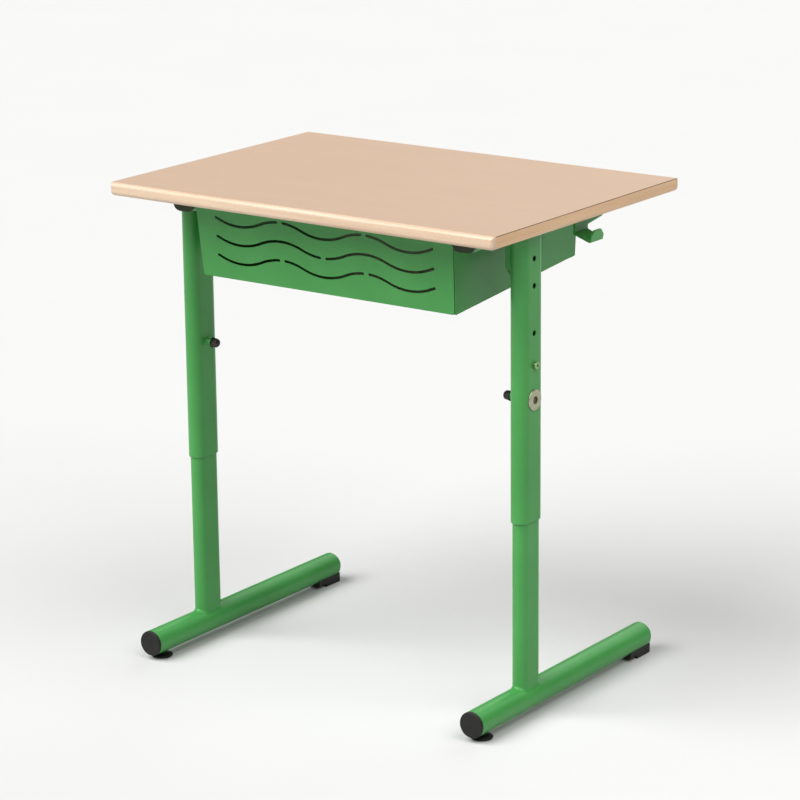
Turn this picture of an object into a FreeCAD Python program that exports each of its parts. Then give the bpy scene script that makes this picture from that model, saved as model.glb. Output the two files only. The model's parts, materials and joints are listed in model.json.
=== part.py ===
import FreeCAD, Part
import Sketcher

import math
import os

# Adjustable single school desk: a laminated top on two telescopic posts, a folded tray and a bag hook.
# Frame: X across the desk, Y from the wave-cut front of the tray towards the pupil, Z up, floor at Z = 0.

doc = FreeCAD.newDocument("school_desk")
sizes = doc.addObject("Spreadsheet::Sheet", "sizes")

# Driving dimensions, in millimetres and degrees
DRIVING_SIZES = {
    "desk_height": 760,
    # top
    "top_width": 700,
    "top_depth": 500,
    "top_thickness": 20,
    "laminate_thickness": 1,
    "backing_thickness": 1,
    "lipping_thickness": 8,
    "lipping_round": 6.8,
    # telescopic posts, flat-oval tubes with the long axis front to back
    "post_inset": 45,
    "post_setback": 150,
    "sleeve_depth": 55,
    "sleeve_width": 30,
    "sleeve_wall": 1.5,
    "sleeve_length": 435,
    "sleeve_chamfer": 0.9,
    "leg_wall": 1.5,
    "leg_gap": 1,
    "leg_lead": 10,
    "travel": 170,
    "bush_height": 25,
    "running_clearance": 0.3,
    "cap_flange": 2,
    "plug_insert": 12,
    "guide_flange": 5,
    # fixings of the posts
    "clamp_drop": 249.5,
    "index_step": 52,
    "low_spare_hole_drop": 150,
    "middle_spare_hole_drop": 80,
    "high_spare_hole_drop": 40,
    "spare_hole_diameter": 8,
    "clamp_bolt_diameter": 8,
    "clamp_head_diameter": 32,
    "clamp_head_thickness": 2,
    "clamp_head_round": 1.2,
    "clamp_shoulder_diameter": 15,
    "clamp_socket_flats": 11,
    "clamp_socket_depth": 3.4,
    "clamp_boss_diameter": 12,
    "clamp_boss_length": 10,
    "bolt_clearance": 0.5,
    "nut_flats": 13,
    "nut_height": 7,
    "nut_dome": 4,
    "nut_washer": 16,
    "nut_washer_thickness": 1.5,
    "index_screw_diameter": 7,
    "index_head_diameter": 11,
    "index_head_thickness": 6,
    "index_head_round": 1.8,
    "index_socket_flats": 4,
    "index_socket_depth": 3,
    # feet
    "foot_diameter": 40,
    "foot_wall": 2,
    "foot_length": 466,
    "foot_front_reach": 140,
    "ground_clearance": 8,
    "plug_thickness": 4,
    "plug_round": 2,
    "press_clearance": 0.1,
    "glide_diameter": 36,
    "glide_base_diameter": 31,
    "glide_edge_height": 3,
    "glide_round": 1,
    "glide_height": 6,
    "glide_neck_diameter": 14,
    "glide_stud_diameter": 8,
    "glide_stud_length": 26,
    "glide_gap": 4,
    "insert_diameter": 16,
    "insert_height": 10,
    "shoe_tongue_length": 54,
    "shoe_tongue_thickness": 3,
    "shoe_pad_length": 38,
    "shoe_inset": 4,
    "shoe_end_wall": 4,
    # arms under the top
    "arm_width": 40,
    "arm_height": 25,
    "arm_wall": 1.5,
    "arm_length": 366,
    "arm_setback": 64,
    "arm_plug_flange": 3,
    # head brackets between posts and arms
    "bracket_reach": 13,
    "bracket_sheet": 3,
    "bracket_length": 84,
    "bracket_setback": 30,
    "bracket_drop": 74,
    "bracket_taper": 16,
    "bracket_hole": 4,
    "bracket_hole_inset": 5.5,
    "bracket_hole_rise": 11.5,
    # tray
    "tray_front_gap": 12,
    "tray_rear_gap": 39,
    "tray_front_drop": 122.5,
    "tray_tilt": 5.2,
    "tray_side_lean": 2.5,
    "tray_sheet": 1.2,
    "tray_bend": 1,
    "tray_flange": 36,
    "tray_screw_inset": 19.8,
    "tray_flange_setback": 20,
    "tray_front_clearance": 6,
    "tray_corner_radius": 6,
    "tray_seam": 1.5,
    "tray_hem": 12,
    # wave slots in the tray's front
    "wave_period": 155,
    "wave_height": 8,
    "wave_slot_width": 4,
    "wave_row_pitch": 29.5,
    "wave_low_row": 34,
    "wave_top_margin": 15,
    "wave_end_margin": 32.5,
    "wave_bridge": 8,
    "wave_shortest_slot": 60,
    # screws
    "wood_screw_diameter": 5,
    "wood_screw_head": 10,
    "wood_screw_head_height": 3,
    "wood_screw_head_rim": 1,
    "wood_screw_head_top": 6,
    "wood_screw_bite": 12,
    "sheet_screw_diameter": 5,
    "screw_clearance": 0.2,
    "top_screw_edge": 24,
    "tray_screw_edge": 55,
    "tray_screw_length": 12,
    # bag hook
    "hook_sheet": 4,
    "hook_bend": 2,
    "hook_gap": 7,
    "hook_position": 284,
    "hook_width": 34,
    "hook_foot": 26,
    "hook_web_drop": 28,
    "hook_reach": 26,
    "hook_fall": 11,
    "hook_rise": 17.5,
    "hook_flare": 3,
    "hook_tip_width": 16,
    "hook_tail": 40,
    "hook_tail_root": 20,
    "hook_tail_drop": 14,
}


def fill_sheet():
    """Writes one named cell for each driving dimension."""
    for row, (name, size) in enumerate(DRIVING_SIZES.items(), start=1):
        sizes.set(f"A{row}", name)
        sizes.set(f"B{row}", str(size))
        sizes.setAlias(f"B{row}", name)
    doc.recompute()


fill_sheet()

# Places and sizes that follow from the driving dimensions, as expressions on the sheet
UNDERSIDE = "(sizes.desk_height - sizes.top_thickness)"
FRONT_EDGE = "(-sizes.top_depth / 2)"
POST_X = "(sizes.top_width / 2 - sizes.post_inset)"
POST_Y = f"({FRONT_EDGE} + sizes.post_setback)"
SLEEVE_TOP = f"({UNDERSIDE} - sizes.cap_flange)"
SLEEVE_BOTTOM = f"({SLEEVE_TOP} - sizes.sleeve_length)"
SLEEVE_HALF = "(sizes.sleeve_width / 2)"
SLEEVE_BORE_DEPTH = "(sizes.sleeve_depth - 2 * sizes.sleeve_wall)"
SLEEVE_BORE_WIDTH = "(sizes.sleeve_width - 2 * sizes.sleeve_wall)"
LEG_DEPTH = f"({SLEEVE_BORE_DEPTH} - 2 * sizes.leg_gap)"
LEG_WIDTH = f"({SLEEVE_BORE_WIDTH} - 2 * sizes.leg_gap)"
LEG_BORE_DEPTH = f"({LEG_DEPTH} - 2 * sizes.leg_wall)"
LEG_BORE_WIDTH = f"({LEG_WIDTH} - 2 * sizes.leg_wall)"
CLAMP_Z = f"({SLEEVE_TOP} - sizes.clamp_drop)"
INDEX_Z = f"({CLAMP_Z} + sizes.index_step)"
LEG_TOP = f"({INDEX_Z} + sizes.leg_lead)"
BOLT_HOLE = "(sizes.clamp_bolt_diameter / 2 + sizes.bolt_clearance)"
SHOULDER_HOLE = "(sizes.clamp_shoulder_diameter / 2 + sizes.bolt_clearance)"
INDEX_HOLE = "(sizes.index_screw_diameter / 2 + sizes.bolt_clearance)"
FOOT_RADIUS = "(sizes.foot_diameter / 2)"
FOOT_BORE = f"({FOOT_RADIUS} - sizes.foot_wall)"
FOOT_Z = f"(sizes.ground_clearance + {FOOT_RADIUS})"
FOOT_FRONT = f"({POST_Y} - sizes.foot_front_reach)"
FOOT_REAR = f"({FOOT_FRONT} + sizes.foot_length)"
GLIDE_SETBACK = "(sizes.plug_insert + sizes.glide_gap + sizes.insert_diameter / 2)"
GLIDE_Y = f"({FOOT_FRONT} + {GLIDE_SETBACK})"
STUD_HOLE = "(sizes.glide_stud_diameter / 2 + sizes.bolt_clearance)"
ARM_X = f"({POST_X} - {SLEEVE_HALF} - sizes.bracket_reach - sizes.arm_width / 2)"
ARM_Y = f"({FRONT_EDGE} + sizes.arm_setback)"
ARM_REAR = f"({ARM_Y} + sizes.arm_length)"
ARM_Z = f"({UNDERSIDE} - sizes.arm_height / 2)"
ARM_BOTTOM = f"({UNDERSIDE} - sizes.arm_height)"
CORE_THICKNESS = "(sizes.top_thickness - sizes.laminate_thickness - sizes.backing_thickness)"
CORE_WIDTH = "(sizes.top_width - 2 * sizes.lipping_thickness)"
CORE_DEPTH = "(sizes.top_depth - 2 * sizes.lipping_thickness)"
WOOD_SCREW_HOLE = "(sizes.wood_screw_diameter / 2 + sizes.screw_clearance)"
SHEET_SCREW_HOLE = "(sizes.sheet_screw_diameter / 2 + sizes.screw_clearance)"
TOP_SCREW_ROWS = (f"({ARM_Y} + sizes.top_screw_edge)", f"({ARM_REAR} - sizes.top_screw_edge)")
TRAY_Y = f"({ARM_Y} + sizes.tray_front_gap)"
TRAY_REAR = f"({ARM_REAR} - sizes.tray_rear_gap)"
TRAY_Z = f"({UNDERSIDE} - sizes.tray_front_drop)"
TRAY_RUN = f"({TRAY_REAR} - {TRAY_Y})"
TRAY_DEPTH = f"({TRAY_RUN} / cos(sizes.tray_tilt * 1deg))"
TRAY_RISE = f"({TRAY_RUN} * tan(sizes.tray_tilt * 1deg))"
TRAY_HANG = f"({ARM_BOTTOM} - {TRAY_Z})"
TRAY_LEAN = "tan(sizes.tray_side_lean * 1deg)"
TRAY_TOP_X = f"({ARM_X} - sizes.tray_screw_inset)"
TRAY_HALF = f"({TRAY_TOP_X} - {TRAY_HANG} * {TRAY_LEAN})"
TRAY_FRONT_HALF = f"({TRAY_HALF} - sizes.tray_seam)"
TRAY_FRONT_HEIGHT = "((sizes.tray_front_drop - sizes.tray_front_clearance) / cos(sizes.tray_tilt * 1deg))"
TRAY_SCREW_ROWS = (f"({TRAY_Y} + sizes.tray_screw_edge)", f"({TRAY_REAR} - sizes.tray_screw_edge)")
HOOK_X = f"({ARM_X} + sizes.arm_width / 2 + sizes.hook_gap + sizes.hook_foot)"
HOOK_Y = f"({FRONT_EDGE} + sizes.hook_position)"
HOOK_SCREW_X = f"({HOOK_X} - sizes.hook_foot / 2)"
HOOK_SCREW_ROWS = (f"({HOOK_Y} - sizes.hook_width / 4)",
                   f"({HOOK_Y} + sizes.hook_width / 2 + sizes.hook_tail / 2)")

SIDES = (("left", -1), ("right", 1))
subparts = []


def number(expression):
    """The present value of an expression on the sheet."""
    found = sizes.evalExpression(expression)
    return float(getattr(found, "Value", found))


def new_body(label):
    """An empty body that is one sub-part, filed under its label."""
    body = doc.addObject("PartDesign::Body", label)
    body.Label = label
    subparts.append(body)
    return body


def place(piece, x="0", y="0", z="0", turned=False):
    """Sets a sub-part in the desk's frame; a turned one faces the other side."""
    half_turn = 180 if turned else 0
    turn = FreeCAD.Rotation(FreeCAD.Vector(0, 0, 1), half_turn)
    piece.Placement = FreeCAD.Placement(FreeCAD.Vector(), turn)
    for axis, expression in (("x", x), ("y", y), ("z", z)):
        piece.setExpression(f"Placement.Base.{axis}", expression)


def new_sketch(body, plane="XY_Plane", height="0", tilt_axis=None, tilt="0"):
    """A sketch on one of the body's own origin planes, raised by a height and tilted if asked."""
    sketch = body.newObject("Sketcher::SketchObject", f"{body.Name}_sketch")
    support = next(feature for feature in body.Origin.OriginFeatures if feature.Role == plane)
    sketch.AttachmentSupport = [(support, "")]
    sketch.MapMode = "FlatFace"
    if tilt_axis:
        sketch.AttachmentOffset = FreeCAD.Placement(FreeCAD.Vector(), FreeCAD.Rotation(tilt_axis, 1))
        sketch.setExpression("AttachmentOffset.Rotation.Angle", tilt)
    sketch.setExpression("AttachmentOffset.Base.z", height)
    return sketch


def bind(sketch, constraint, expression):
    """Adds a dimension to a sketch and ties it to the sheet."""
    index = sketch.addConstraint(constraint)
    sketch.setExpression(f"Constraints[{index}]", expression)


def bind_point(sketch, geometry, point, x, y):
    """Ties one point of a sketch to two coordinates."""
    bind(sketch, Sketcher.Constraint("DistanceX", -1, 1, geometry, point, number(x)), x)
    bind(sketch, Sketcher.Constraint("DistanceY", -1, 1, geometry, point, number(y)), y)


def draw_polygon(sketch, corners):
    """A closed outline of straight edges through the given corners."""
    points = [FreeCAD.Vector(number(x), number(y), 0) for x, y in corners]
    edges = []
    for start, end in zip(points, points[1:] + points[:1]):
        edges.append(sketch.addGeometry(Part.LineSegment(start, end), False))
    for edge, following in zip(edges, edges[1:] + edges[:1]):
        sketch.addConstraint(Sketcher.Constraint("Coincident", edge, 2, following, 1))
    for edge, (x, y) in zip(edges, corners):
        bind_point(sketch, edge, 1, x, y)


def draw_rectangle(sketch, left, right, low, high):
    """A rectangle between two pairs of coordinates."""
    draw_polygon(sketch, [(left, low), (right, low), (right, high), (left, high)])


def draw_circle(sketch, x, y, radius):
    """A circle at a point."""
    centre = FreeCAD.Vector(number(x), number(y), 0)
    circle = Part.Circle(centre, FreeCAD.Vector(0, 0, 1), number(radius))
    geometry = sketch.addGeometry(circle, False)
    bind_point(sketch, geometry, 3, x, y)
    bind(sketch, Sketcher.Constraint("Radius", geometry, number(radius)), radius)


def draw_oval(sketch, length, width, upright=False, middle="0"):
    """A flat oval about a point of the second axis: two half circles joined by straight flats."""
    radius = f"(({width}) / 2)"
    offset = f"((({length}) - ({width})) / 2)"
    arcs = []
    for sign in ("", "-"):
        along = f"{sign}{offset}"
        x, y = ("0", f"{middle} + {along}") if upright else (along, middle)
        start = (math.pi if sign else 0) - (0 if upright else math.pi / 2)
        circle = Part.Circle(FreeCAD.Vector(number(x), number(y), 0), FreeCAD.Vector(0, 0, 1), number(radius))
        arc = sketch.addGeometry(Part.ArcOfCircle(circle, start, start + math.pi), False)
        bind_point(sketch, arc, 3, x, y)
        bind(sketch, Sketcher.Constraint("Radius", arc, number(radius)), radius)
        arcs.append(arc)
    for first, second in (arcs, arcs[::-1]):
        flat = Part.LineSegment(sketch.getPoint(first, 2), sketch.getPoint(second, 1))
        line = sketch.addGeometry(flat, False)
        sketch.addConstraint(Sketcher.Constraint("Tangent", first, 2, line, 1))
        sketch.addConstraint(Sketcher.Constraint("Tangent", line, 2, second, 1))


def draw_hexagon(sketch, flats, x="0", y="0"):
    """A regular hexagon of the given width across its flats."""
    corners = []
    for step in range(6):
        angle = f"{60 * step}deg"
        reach = f"(({flats}) / 2 / cos(30deg))"
        corners.append((f"{x} + {reach} * cos({angle})", f"{y} + {reach} * sin({angle})"))
    draw_polygon(sketch, corners)


def pad(body, sketch, length, reverse=False, both_ways=False):
    """Adds the sketch's outline, extruded by a length."""
    feature = body.newObject("PartDesign::Pad", f"{body.Name}_pad")
    feature.Profile = sketch
    feature.setExpression("Length", length)
    feature.Reversed = reverse
    feature.SideType = "Symmetric" if both_ways else "One side"
    doc.recompute()
    return feature


def pocket(body, sketch, depth=None, reverse=False, both_ways=False):
    """Cuts the sketch's outline by a depth, or right through; a pocket that cuts nothing is an error."""
    before = body.Shape.Volume
    feature = body.newObject("PartDesign::Pocket", f"{body.Name}_pocket")
    feature.Profile = sketch
    feature.Reversed = reverse
    feature.SideType = "Symmetric" if both_ways else "One side"
    if depth is None:
        feature.Type = "ThroughAll"
    else:
        feature.setExpression("Length", depth)
    doc.recompute()
    if not body.Shape.Volume < before:
        raise ValueError(f"a pocket of {body.Label} cuts nothing")
    return feature


def revolve(body, sketch, axis):
    """Turns the sketch's outline about one of the sketch's own axes."""
    feature = body.newObject("PartDesign::Revolution", f"{body.Name}_revolution")
    feature.Profile = sketch
    feature.ReferenceAxis = (sketch, [axis])
    feature.Angle = 360
    doc.recompute()
    return feature


def pick_edges(feature, wanted):
    """Names of the edges of a feature's shape that a test picks out."""
    return [f"Edge{index}" for index, edge in enumerate(feature.Shape.Edges, start=1) if wanted(edge)]


def round_edges(body, radius, wanted):
    """Rounds the edges of the body's present shape that the test picks out."""
    base = body.Tip
    feature = body.newObject("PartDesign::Fillet", f"{body.Name}_fillet")
    feature.Base = (base, pick_edges(base, wanted))
    feature.setExpression("Radius", radius)
    doc.recompute()
    return feature


def lies_at(edge, **places):
    """True if every point of the edge has the given coordinates."""
    tolerance = 0.01
    box = edge.BoundBox
    for axis, wanted in places.items():
        low, high = getattr(box, f"{axis}Min"), getattr(box, f"{axis}Max")
        if abs(low - wanted) > tolerance or abs(high - wanted) > tolerance:
            return False
    return True


def signed(side, expression):
    """An X coordinate on the left or the right side."""
    return expression if side > 0 else f"-{expression}"


# Top

def wood_screw_points():
    """Where wood screws enter the underside of the top."""
    arm_points = [(signed(side, ARM_X), y) for _, side in SIDES for y in TOP_SCREW_ROWS]
    return arm_points + [(HOOK_SCREW_X, y) for y in HOOK_SCREW_ROWS]


def make_core():
    """Particle board core with pilot holes from below."""
    body = new_body("top_core")
    outline = new_sketch(body)
    draw_rectangle(outline, f"-{CORE_WIDTH} / 2", f"{CORE_WIDTH} / 2",
                   f"-{CORE_DEPTH} / 2", f"{CORE_DEPTH} / 2")
    pad(body, outline, CORE_THICKNESS)
    holes = new_sketch(body)
    for x, y in wood_screw_points():
        draw_circle(holes, x, y, WOOD_SCREW_HOLE)
    pocket(body, holes, "sizes.wood_screw_bite", reverse=True)
    place(body, z=f"{UNDERSIDE} + sizes.backing_thickness")


def make_laminate():
    """Decor laminate over the core and the side lippings."""
    body = new_body("top_laminate")
    outline = new_sketch(body)
    half_width = "sizes.top_width / 2"
    draw_rectangle(outline, f"-{half_width}", half_width, f"-{CORE_DEPTH} / 2", f"{CORE_DEPTH} / 2")
    pad(body, outline, "sizes.laminate_thickness")
    place(body, z="sizes.desk_height - sizes.laminate_thickness")


def make_backing():
    """Balancing sheet under the core, drilled for the screws."""
    body = new_body("top_backing")
    outline = new_sketch(body)
    draw_rectangle(outline, f"-{CORE_WIDTH} / 2", f"{CORE_WIDTH} / 2",
                   f"-{CORE_DEPTH} / 2", f"{CORE_DEPTH} / 2")
    for x, y in wood_screw_points():
        draw_circle(outline, x, y, WOOD_SCREW_HOLE)
    pad(body, outline, "sizes.backing_thickness")
    place(body, z=UNDERSIDE)


def make_long_lipping(label, turned):
    """Front or rear beech lipping, full width, with its outer and lower arrises and its corners rounded."""
    body = new_body(label)
    outline = new_sketch(body)
    half_width = "sizes.top_width / 2"
    draw_rectangle(outline, f"-{half_width}", half_width, FRONT_EDGE, f"-{CORE_DEPTH} / 2")
    pad(body, outline, "sizes.top_thickness")
    outer = number(FRONT_EDGE)
    end = number(half_width)
    round_edges(body, "sizes.lipping_round", lambda edge: lies_at(edge, Y=outer)
                or lies_at(edge, X=end, Z=0) or lies_at(edge, X=-end, Z=0))
    place(body, z=UNDERSIDE, turned=turned)


def make_side_lipping(label, turned):
    """Side beech lipping under the laminate, its lower arris rounded."""
    body = new_body(label)
    outline = new_sketch(body)
    half_width = "sizes.top_width / 2"
    draw_rectangle(outline, f"{CORE_WIDTH} / 2", half_width, f"-{CORE_DEPTH} / 2", f"{CORE_DEPTH} / 2")
    pad(body, outline, "sizes.top_thickness - sizes.laminate_thickness")
    outer = number(half_width)
    round_edges(body, "sizes.lipping_round", lambda edge: lies_at(edge, X=outer, Z=0))
    place(body, z=UNDERSIDE, turned=turned)


# Upper frame

def make_arm(name, side):
    """Flat-oval tube under the top, drilled through for the top's screws and from below for the tray's."""
    body = new_body(f"arm_{name}")
    section = new_sketch(body, "XZ_Plane")
    draw_oval(section, "sizes.arm_width", "sizes.arm_height")
    draw_oval(section, "sizes.arm_width - 2 * sizes.arm_wall", "sizes.arm_height - 2 * sizes.arm_wall")
    pad(body, section, "sizes.arm_length", reverse=True)
    through = new_sketch(body)
    for y in TOP_SCREW_ROWS:
        draw_circle(through, "0", f"{y} - {ARM_Y}", WOOD_SCREW_HOLE)
    pocket(body, through, both_ways=True)
    below = new_sketch(body)
    for y in TRAY_SCREW_ROWS:
        draw_circle(below, "0", f"{y} - {ARM_Y}", SHEET_SCREW_HOLE)
    pocket(body, below)
    place(body, signed(side, ARM_X), ARM_Y, ARM_Z)


def make_oval_plug(body, plane, length, width, wall, flange):
    """A plug for a flat-oval tube: a flange as wide as the tube and a shank inside it."""
    upright = plane == "XY_Plane"
    head = new_sketch(body, plane)
    draw_oval(head, length, width, upright=upright)
    pad(body, head, flange)
    shank = new_sketch(body, plane)
    inset = f"2 * ({wall} + sizes.press_clearance)"
    draw_oval(shank, f"{length} - {inset}", f"{width} - {inset}", upright=upright)
    pad(body, shank, "sizes.plug_insert", reverse=True)


def make_arm_plug(name, side, end, turned):
    """Black plug in one end of an arm."""
    body = new_body(f"arm_plug_{end}_{name}")
    make_oval_plug(body, "XZ_Plane", "sizes.arm_width", "sizes.arm_height", "sizes.arm_wall",
                   "sizes.arm_plug_flange")
    face = -number("sizes.arm_plug_flange")
    round_edges(body, "sizes.arm_plug_flange / 2", lambda edge: lies_at(edge, Y=face))
    place(body, signed(side, ARM_X), ARM_REAR if turned else ARM_Y, ARM_Z, turned)


def on_sleeve_outline(edge):
    """True for edges of the sleeve's outer outline at its lower end."""
    tolerance = 0.01
    box = edge.BoundBox
    on_flat = max(box.XMax, -box.XMin) > number(SLEEVE_HALF) - tolerance
    on_end = max(box.YMax, -box.YMin) > number("sizes.sleeve_depth / 2") - tolerance
    return lies_at(edge, Z=0) and (on_flat or on_end)


def make_sleeve(name, side):
    """Outer flat-oval post tube with a chamfered rim, a row of holes outside and a clamp boss inside."""
    body = new_body(f"post_sleeve_{name}")
    section = new_sketch(body)
    draw_oval(section, "sizes.sleeve_depth", "sizes.sleeve_width", upright=True)
    draw_oval(section, SLEEVE_BORE_DEPTH, SLEEVE_BORE_WIDTH, upright=True)
    tube = pad(body, section, "sizes.sleeve_length")
    chamfer = body.newObject("PartDesign::Chamfer", f"{body.Name}_chamfer")
    chamfer.Base = (tube, pick_edges(tube, on_sleeve_outline))
    chamfer.setExpression("Size", "sizes.sleeve_chamfer")
    doc.recompute()
    clamp = "(sizes.sleeve_length - sizes.clamp_drop)"
    inner_face = signed(-side, SLEEVE_HALF)
    boss = new_sketch(body, "YZ_Plane", inner_face)
    draw_circle(boss, "0", clamp, "sizes.clamp_boss_diameter / 2")
    pad(body, boss, "sizes.clamp_boss_length", reverse=side > 0)
    bolt_hole = new_sketch(body, "YZ_Plane")
    draw_circle(bolt_hole, "0", clamp, BOLT_HOLE)
    pocket(body, bolt_hole, reverse=side < 0)
    holes = new_sketch(body, "YZ_Plane")
    draw_circle(holes, "0", clamp, SHOULDER_HOLE)
    draw_circle(holes, "0", f"{clamp} + sizes.index_step", INDEX_HOLE)
    for row in ("low", "middle", "high"):
        height = f"sizes.sleeve_length - sizes.{row}_spare_hole_drop"
        draw_circle(holes, "0", height, "sizes.spare_hole_diameter / 2")
    pocket(body, holes, reverse=side > 0)
    place(body, signed(side, POST_X), POST_Y, SLEEVE_BOTTOM)


def make_bush(name, side):
    """Thin guide bush in the sleeve's mouth."""
    body = new_body(f"sleeve_bush_{name}")
    section = new_sketch(body)
    seat = "2 * sizes.press_clearance"
    draw_oval(section, f"{SLEEVE_BORE_DEPTH} - {seat}", f"{SLEEVE_BORE_WIDTH} - {seat}", upright=True)
    run = "2 * sizes.running_clearance"
    draw_oval(section, f"{LEG_DEPTH} + {run}", f"{LEG_WIDTH} + {run}", upright=True)
    pad(body, section, "sizes.bush_height")
    place(body, signed(side, POST_X), POST_Y, SLEEVE_BOTTOM)


def make_sleeve_cap(name, side):
    """Plug that closes the sleeve under the top."""
    body = new_body(f"sleeve_cap_{name}")
    make_oval_plug(body, "XY_Plane", "sizes.sleeve_depth", "sizes.sleeve_width", "sizes.sleeve_wall",
                   "sizes.cap_flange")
    place(body, signed(side, POST_X), POST_Y, SLEEVE_TOP)


def make_bracket(name, side):
    """Folded bracket from the post's inner face to the arm: a web and two drilled, tapered flanges."""
    body = new_body(f"head_bracket_{name}")
    half = "sizes.bracket_length / 2"
    web = new_sketch(body, "YZ_Plane")
    draw_rectangle(web, f"-{half}", half, "-sizes.bracket_drop", "-sizes.cap_flange")
    pad(body, web, "sizes.bracket_sheet", reverse=True)
    for end, inward in ((half, True), (f"-{half}", False)):
        flange = new_sketch(body, "XZ_Plane", end)
        draw_polygon(flange, [("-sizes.bracket_reach", "sizes.bracket_taper - sizes.bracket_drop"),
                              ("0", "-sizes.bracket_drop"), ("0", "-sizes.cap_flange"),
                              ("-sizes.bracket_reach", "-sizes.cap_flange")])
        pad(body, flange, "sizes.bracket_sheet", reverse=inward)
    hole = new_sketch(body, "XZ_Plane")
    draw_circle(hole, "-sizes.bracket_hole_inset", "sizes.bracket_hole_rise - sizes.bracket_drop",
                "sizes.bracket_hole / 2")
    pocket(body, hole, both_ways=True)
    inner_face = f"({POST_X} - {SLEEVE_HALF})"
    place(body, signed(side, inner_face), f"{POST_Y} + sizes.bracket_setback", UNDERSIDE, side < 0)


# Tray

def wave_point(x, offset):
    """A point beside the wave's centre line, which is a chain of arcs with a trough at X = 0."""
    chord = number("sizes.wave_period / 2")
    rise = number("sizes.wave_height")
    radius = (chord ** 2 / 4 + rise ** 2) / (2 * rise)
    half_wave = round(x / chord)
    upward = 1 if half_wave % 2 else -1
    angle = math.asin((x - half_wave * chord) / radius)
    reach = radius + upward * offset
    middle = upward * (rise - radius)
    across = half_wave * chord + reach * math.sin(angle)
    return FreeCAD.Vector(across, middle + upward * reach * math.cos(angle), 0)


def wave_stations(start, end):
    """Where the arcs of a slot begin and end: its two ends and the wave's turning points between them."""
    chord = number("sizes.wave_period / 2")
    count = math.ceil(abs(end - start) / chord) + 2
    nearest = round(start / chord)
    turns = [(nearest + step + 0.5) * chord for step in range(-1, count)]
    return [start] + [turn for turn in turns if start < turn < end] + [end]


def draw_wave_slot(sketch, start, end, height):
    """One slot with parallel wavy edges and round ends."""
    lift = FreeCAD.Vector(0, height, 0)
    half = number("sizes.wave_slot_width") / 2
    stations = wave_stations(start, end)
    for side in (half, -half):
        for near, far in zip(stations, stations[1:]):
            points = [wave_point(x, side) + lift for x in (near, (near + far) / 2, far)]
            sketch.addGeometry(Part.Arc(*points), False)
    for x, direction in ((start, -1), (end, 1)):
        above = wave_point(x, half) + lift
        below = wave_point(x, -half) + lift
        across = (above - below).normalize()
        ahead = FreeCAD.Vector(across.y, -across.x, 0) * (half * direction)
        sketch.addGeometry(Part.Arc(above, (above + below) * 0.5 + ahead, below), False)


def bridge_places(row, limit):
    """Where a row is bridged: at the crests in even rows, at the troughs in odd rows, clear of the ends."""
    period = number("sizes.wave_period")
    reach = limit - number("sizes.wave_shortest_slot")
    first = 0 if row % 2 else period / 2
    count = math.floor((reach - first) / period) + 1
    ahead = [first + step * period for step in range(count)]
    return sorted({place for bridge in ahead for place in (bridge, -bridge)})


def draw_wave_rows(sketch):
    """Rows of slots up the front, bridged in turn at the crests and at the troughs of the wave."""
    limit = number(f"{TRAY_FRONT_HALF} - sizes.wave_end_margin")
    gap = number("(sizes.wave_bridge + sizes.wave_slot_width) / 2")
    pitch = number("sizes.wave_row_pitch")
    lowest = number("sizes.wave_low_row")
    highest = number(f"{TRAY_FRONT_HEIGHT} - sizes.wave_top_margin")
    for row in range(math.floor((highest - lowest) / pitch) + 1):
        bridges = bridge_places(row, limit)
        starts = [-limit] + [bridge + gap for bridge in bridges]
        ends = [bridge - gap for bridge in bridges] + [limit]
        for start, end in zip(starts, ends):
            draw_wave_slot(sketch, start, end, lowest + row * pitch)


def make_tray_side(body, side):
    """One leaning side under an arm and the flange that is screwed to the arm."""
    sketch = new_sketch(body, "YZ_Plane", signed(side, TRAY_TOP_X), FreeCAD.Vector(1, 0, 0),
                        signed(side, "sizes.tray_side_lean"))
    sketch.setExpression("AttachmentOffset.Base.y", TRAY_HANG)
    slant = "cos(sizes.tray_side_lean * 1deg)"
    front_lean = f"({TRAY_HANG} * tan(sizes.tray_tilt * 1deg))"
    draw_polygon(sketch, [("sizes.tray_seam", f"-{TRAY_HANG} / {slant}"),
                          (TRAY_RUN, f"({TRAY_RISE} - {TRAY_HANG}) / {slant}"),
                          (TRAY_RUN, "0"), (f"sizes.tray_seam - {front_lean}", "0")])
    pad(body, sketch, "sizes.tray_sheet", reverse=side > 0)
    flange = new_sketch(body, "XY_Plane", f"{TRAY_HANG} - sizes.tray_sheet")
    inner_edge = signed(side, f"({TRAY_TOP_X} - sizes.tray_sheet)")
    outer_edge = signed(side, f"({TRAY_TOP_X} + sizes.tray_flange)")
    low, high = (inner_edge, outer_edge) if side > 0 else (outer_edge, inner_edge)
    draw_rectangle(flange, low, high, "sizes.tray_flange_setback", f"{TRAY_RUN} - sizes.tray_flange_setback")
    for y in TRAY_SCREW_ROWS:
        draw_circle(flange, signed(side, ARM_X), f"{y} - {TRAY_Y}", SHEET_SCREW_HOLE)
    pad(body, flange, "sizes.tray_sheet")


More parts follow.
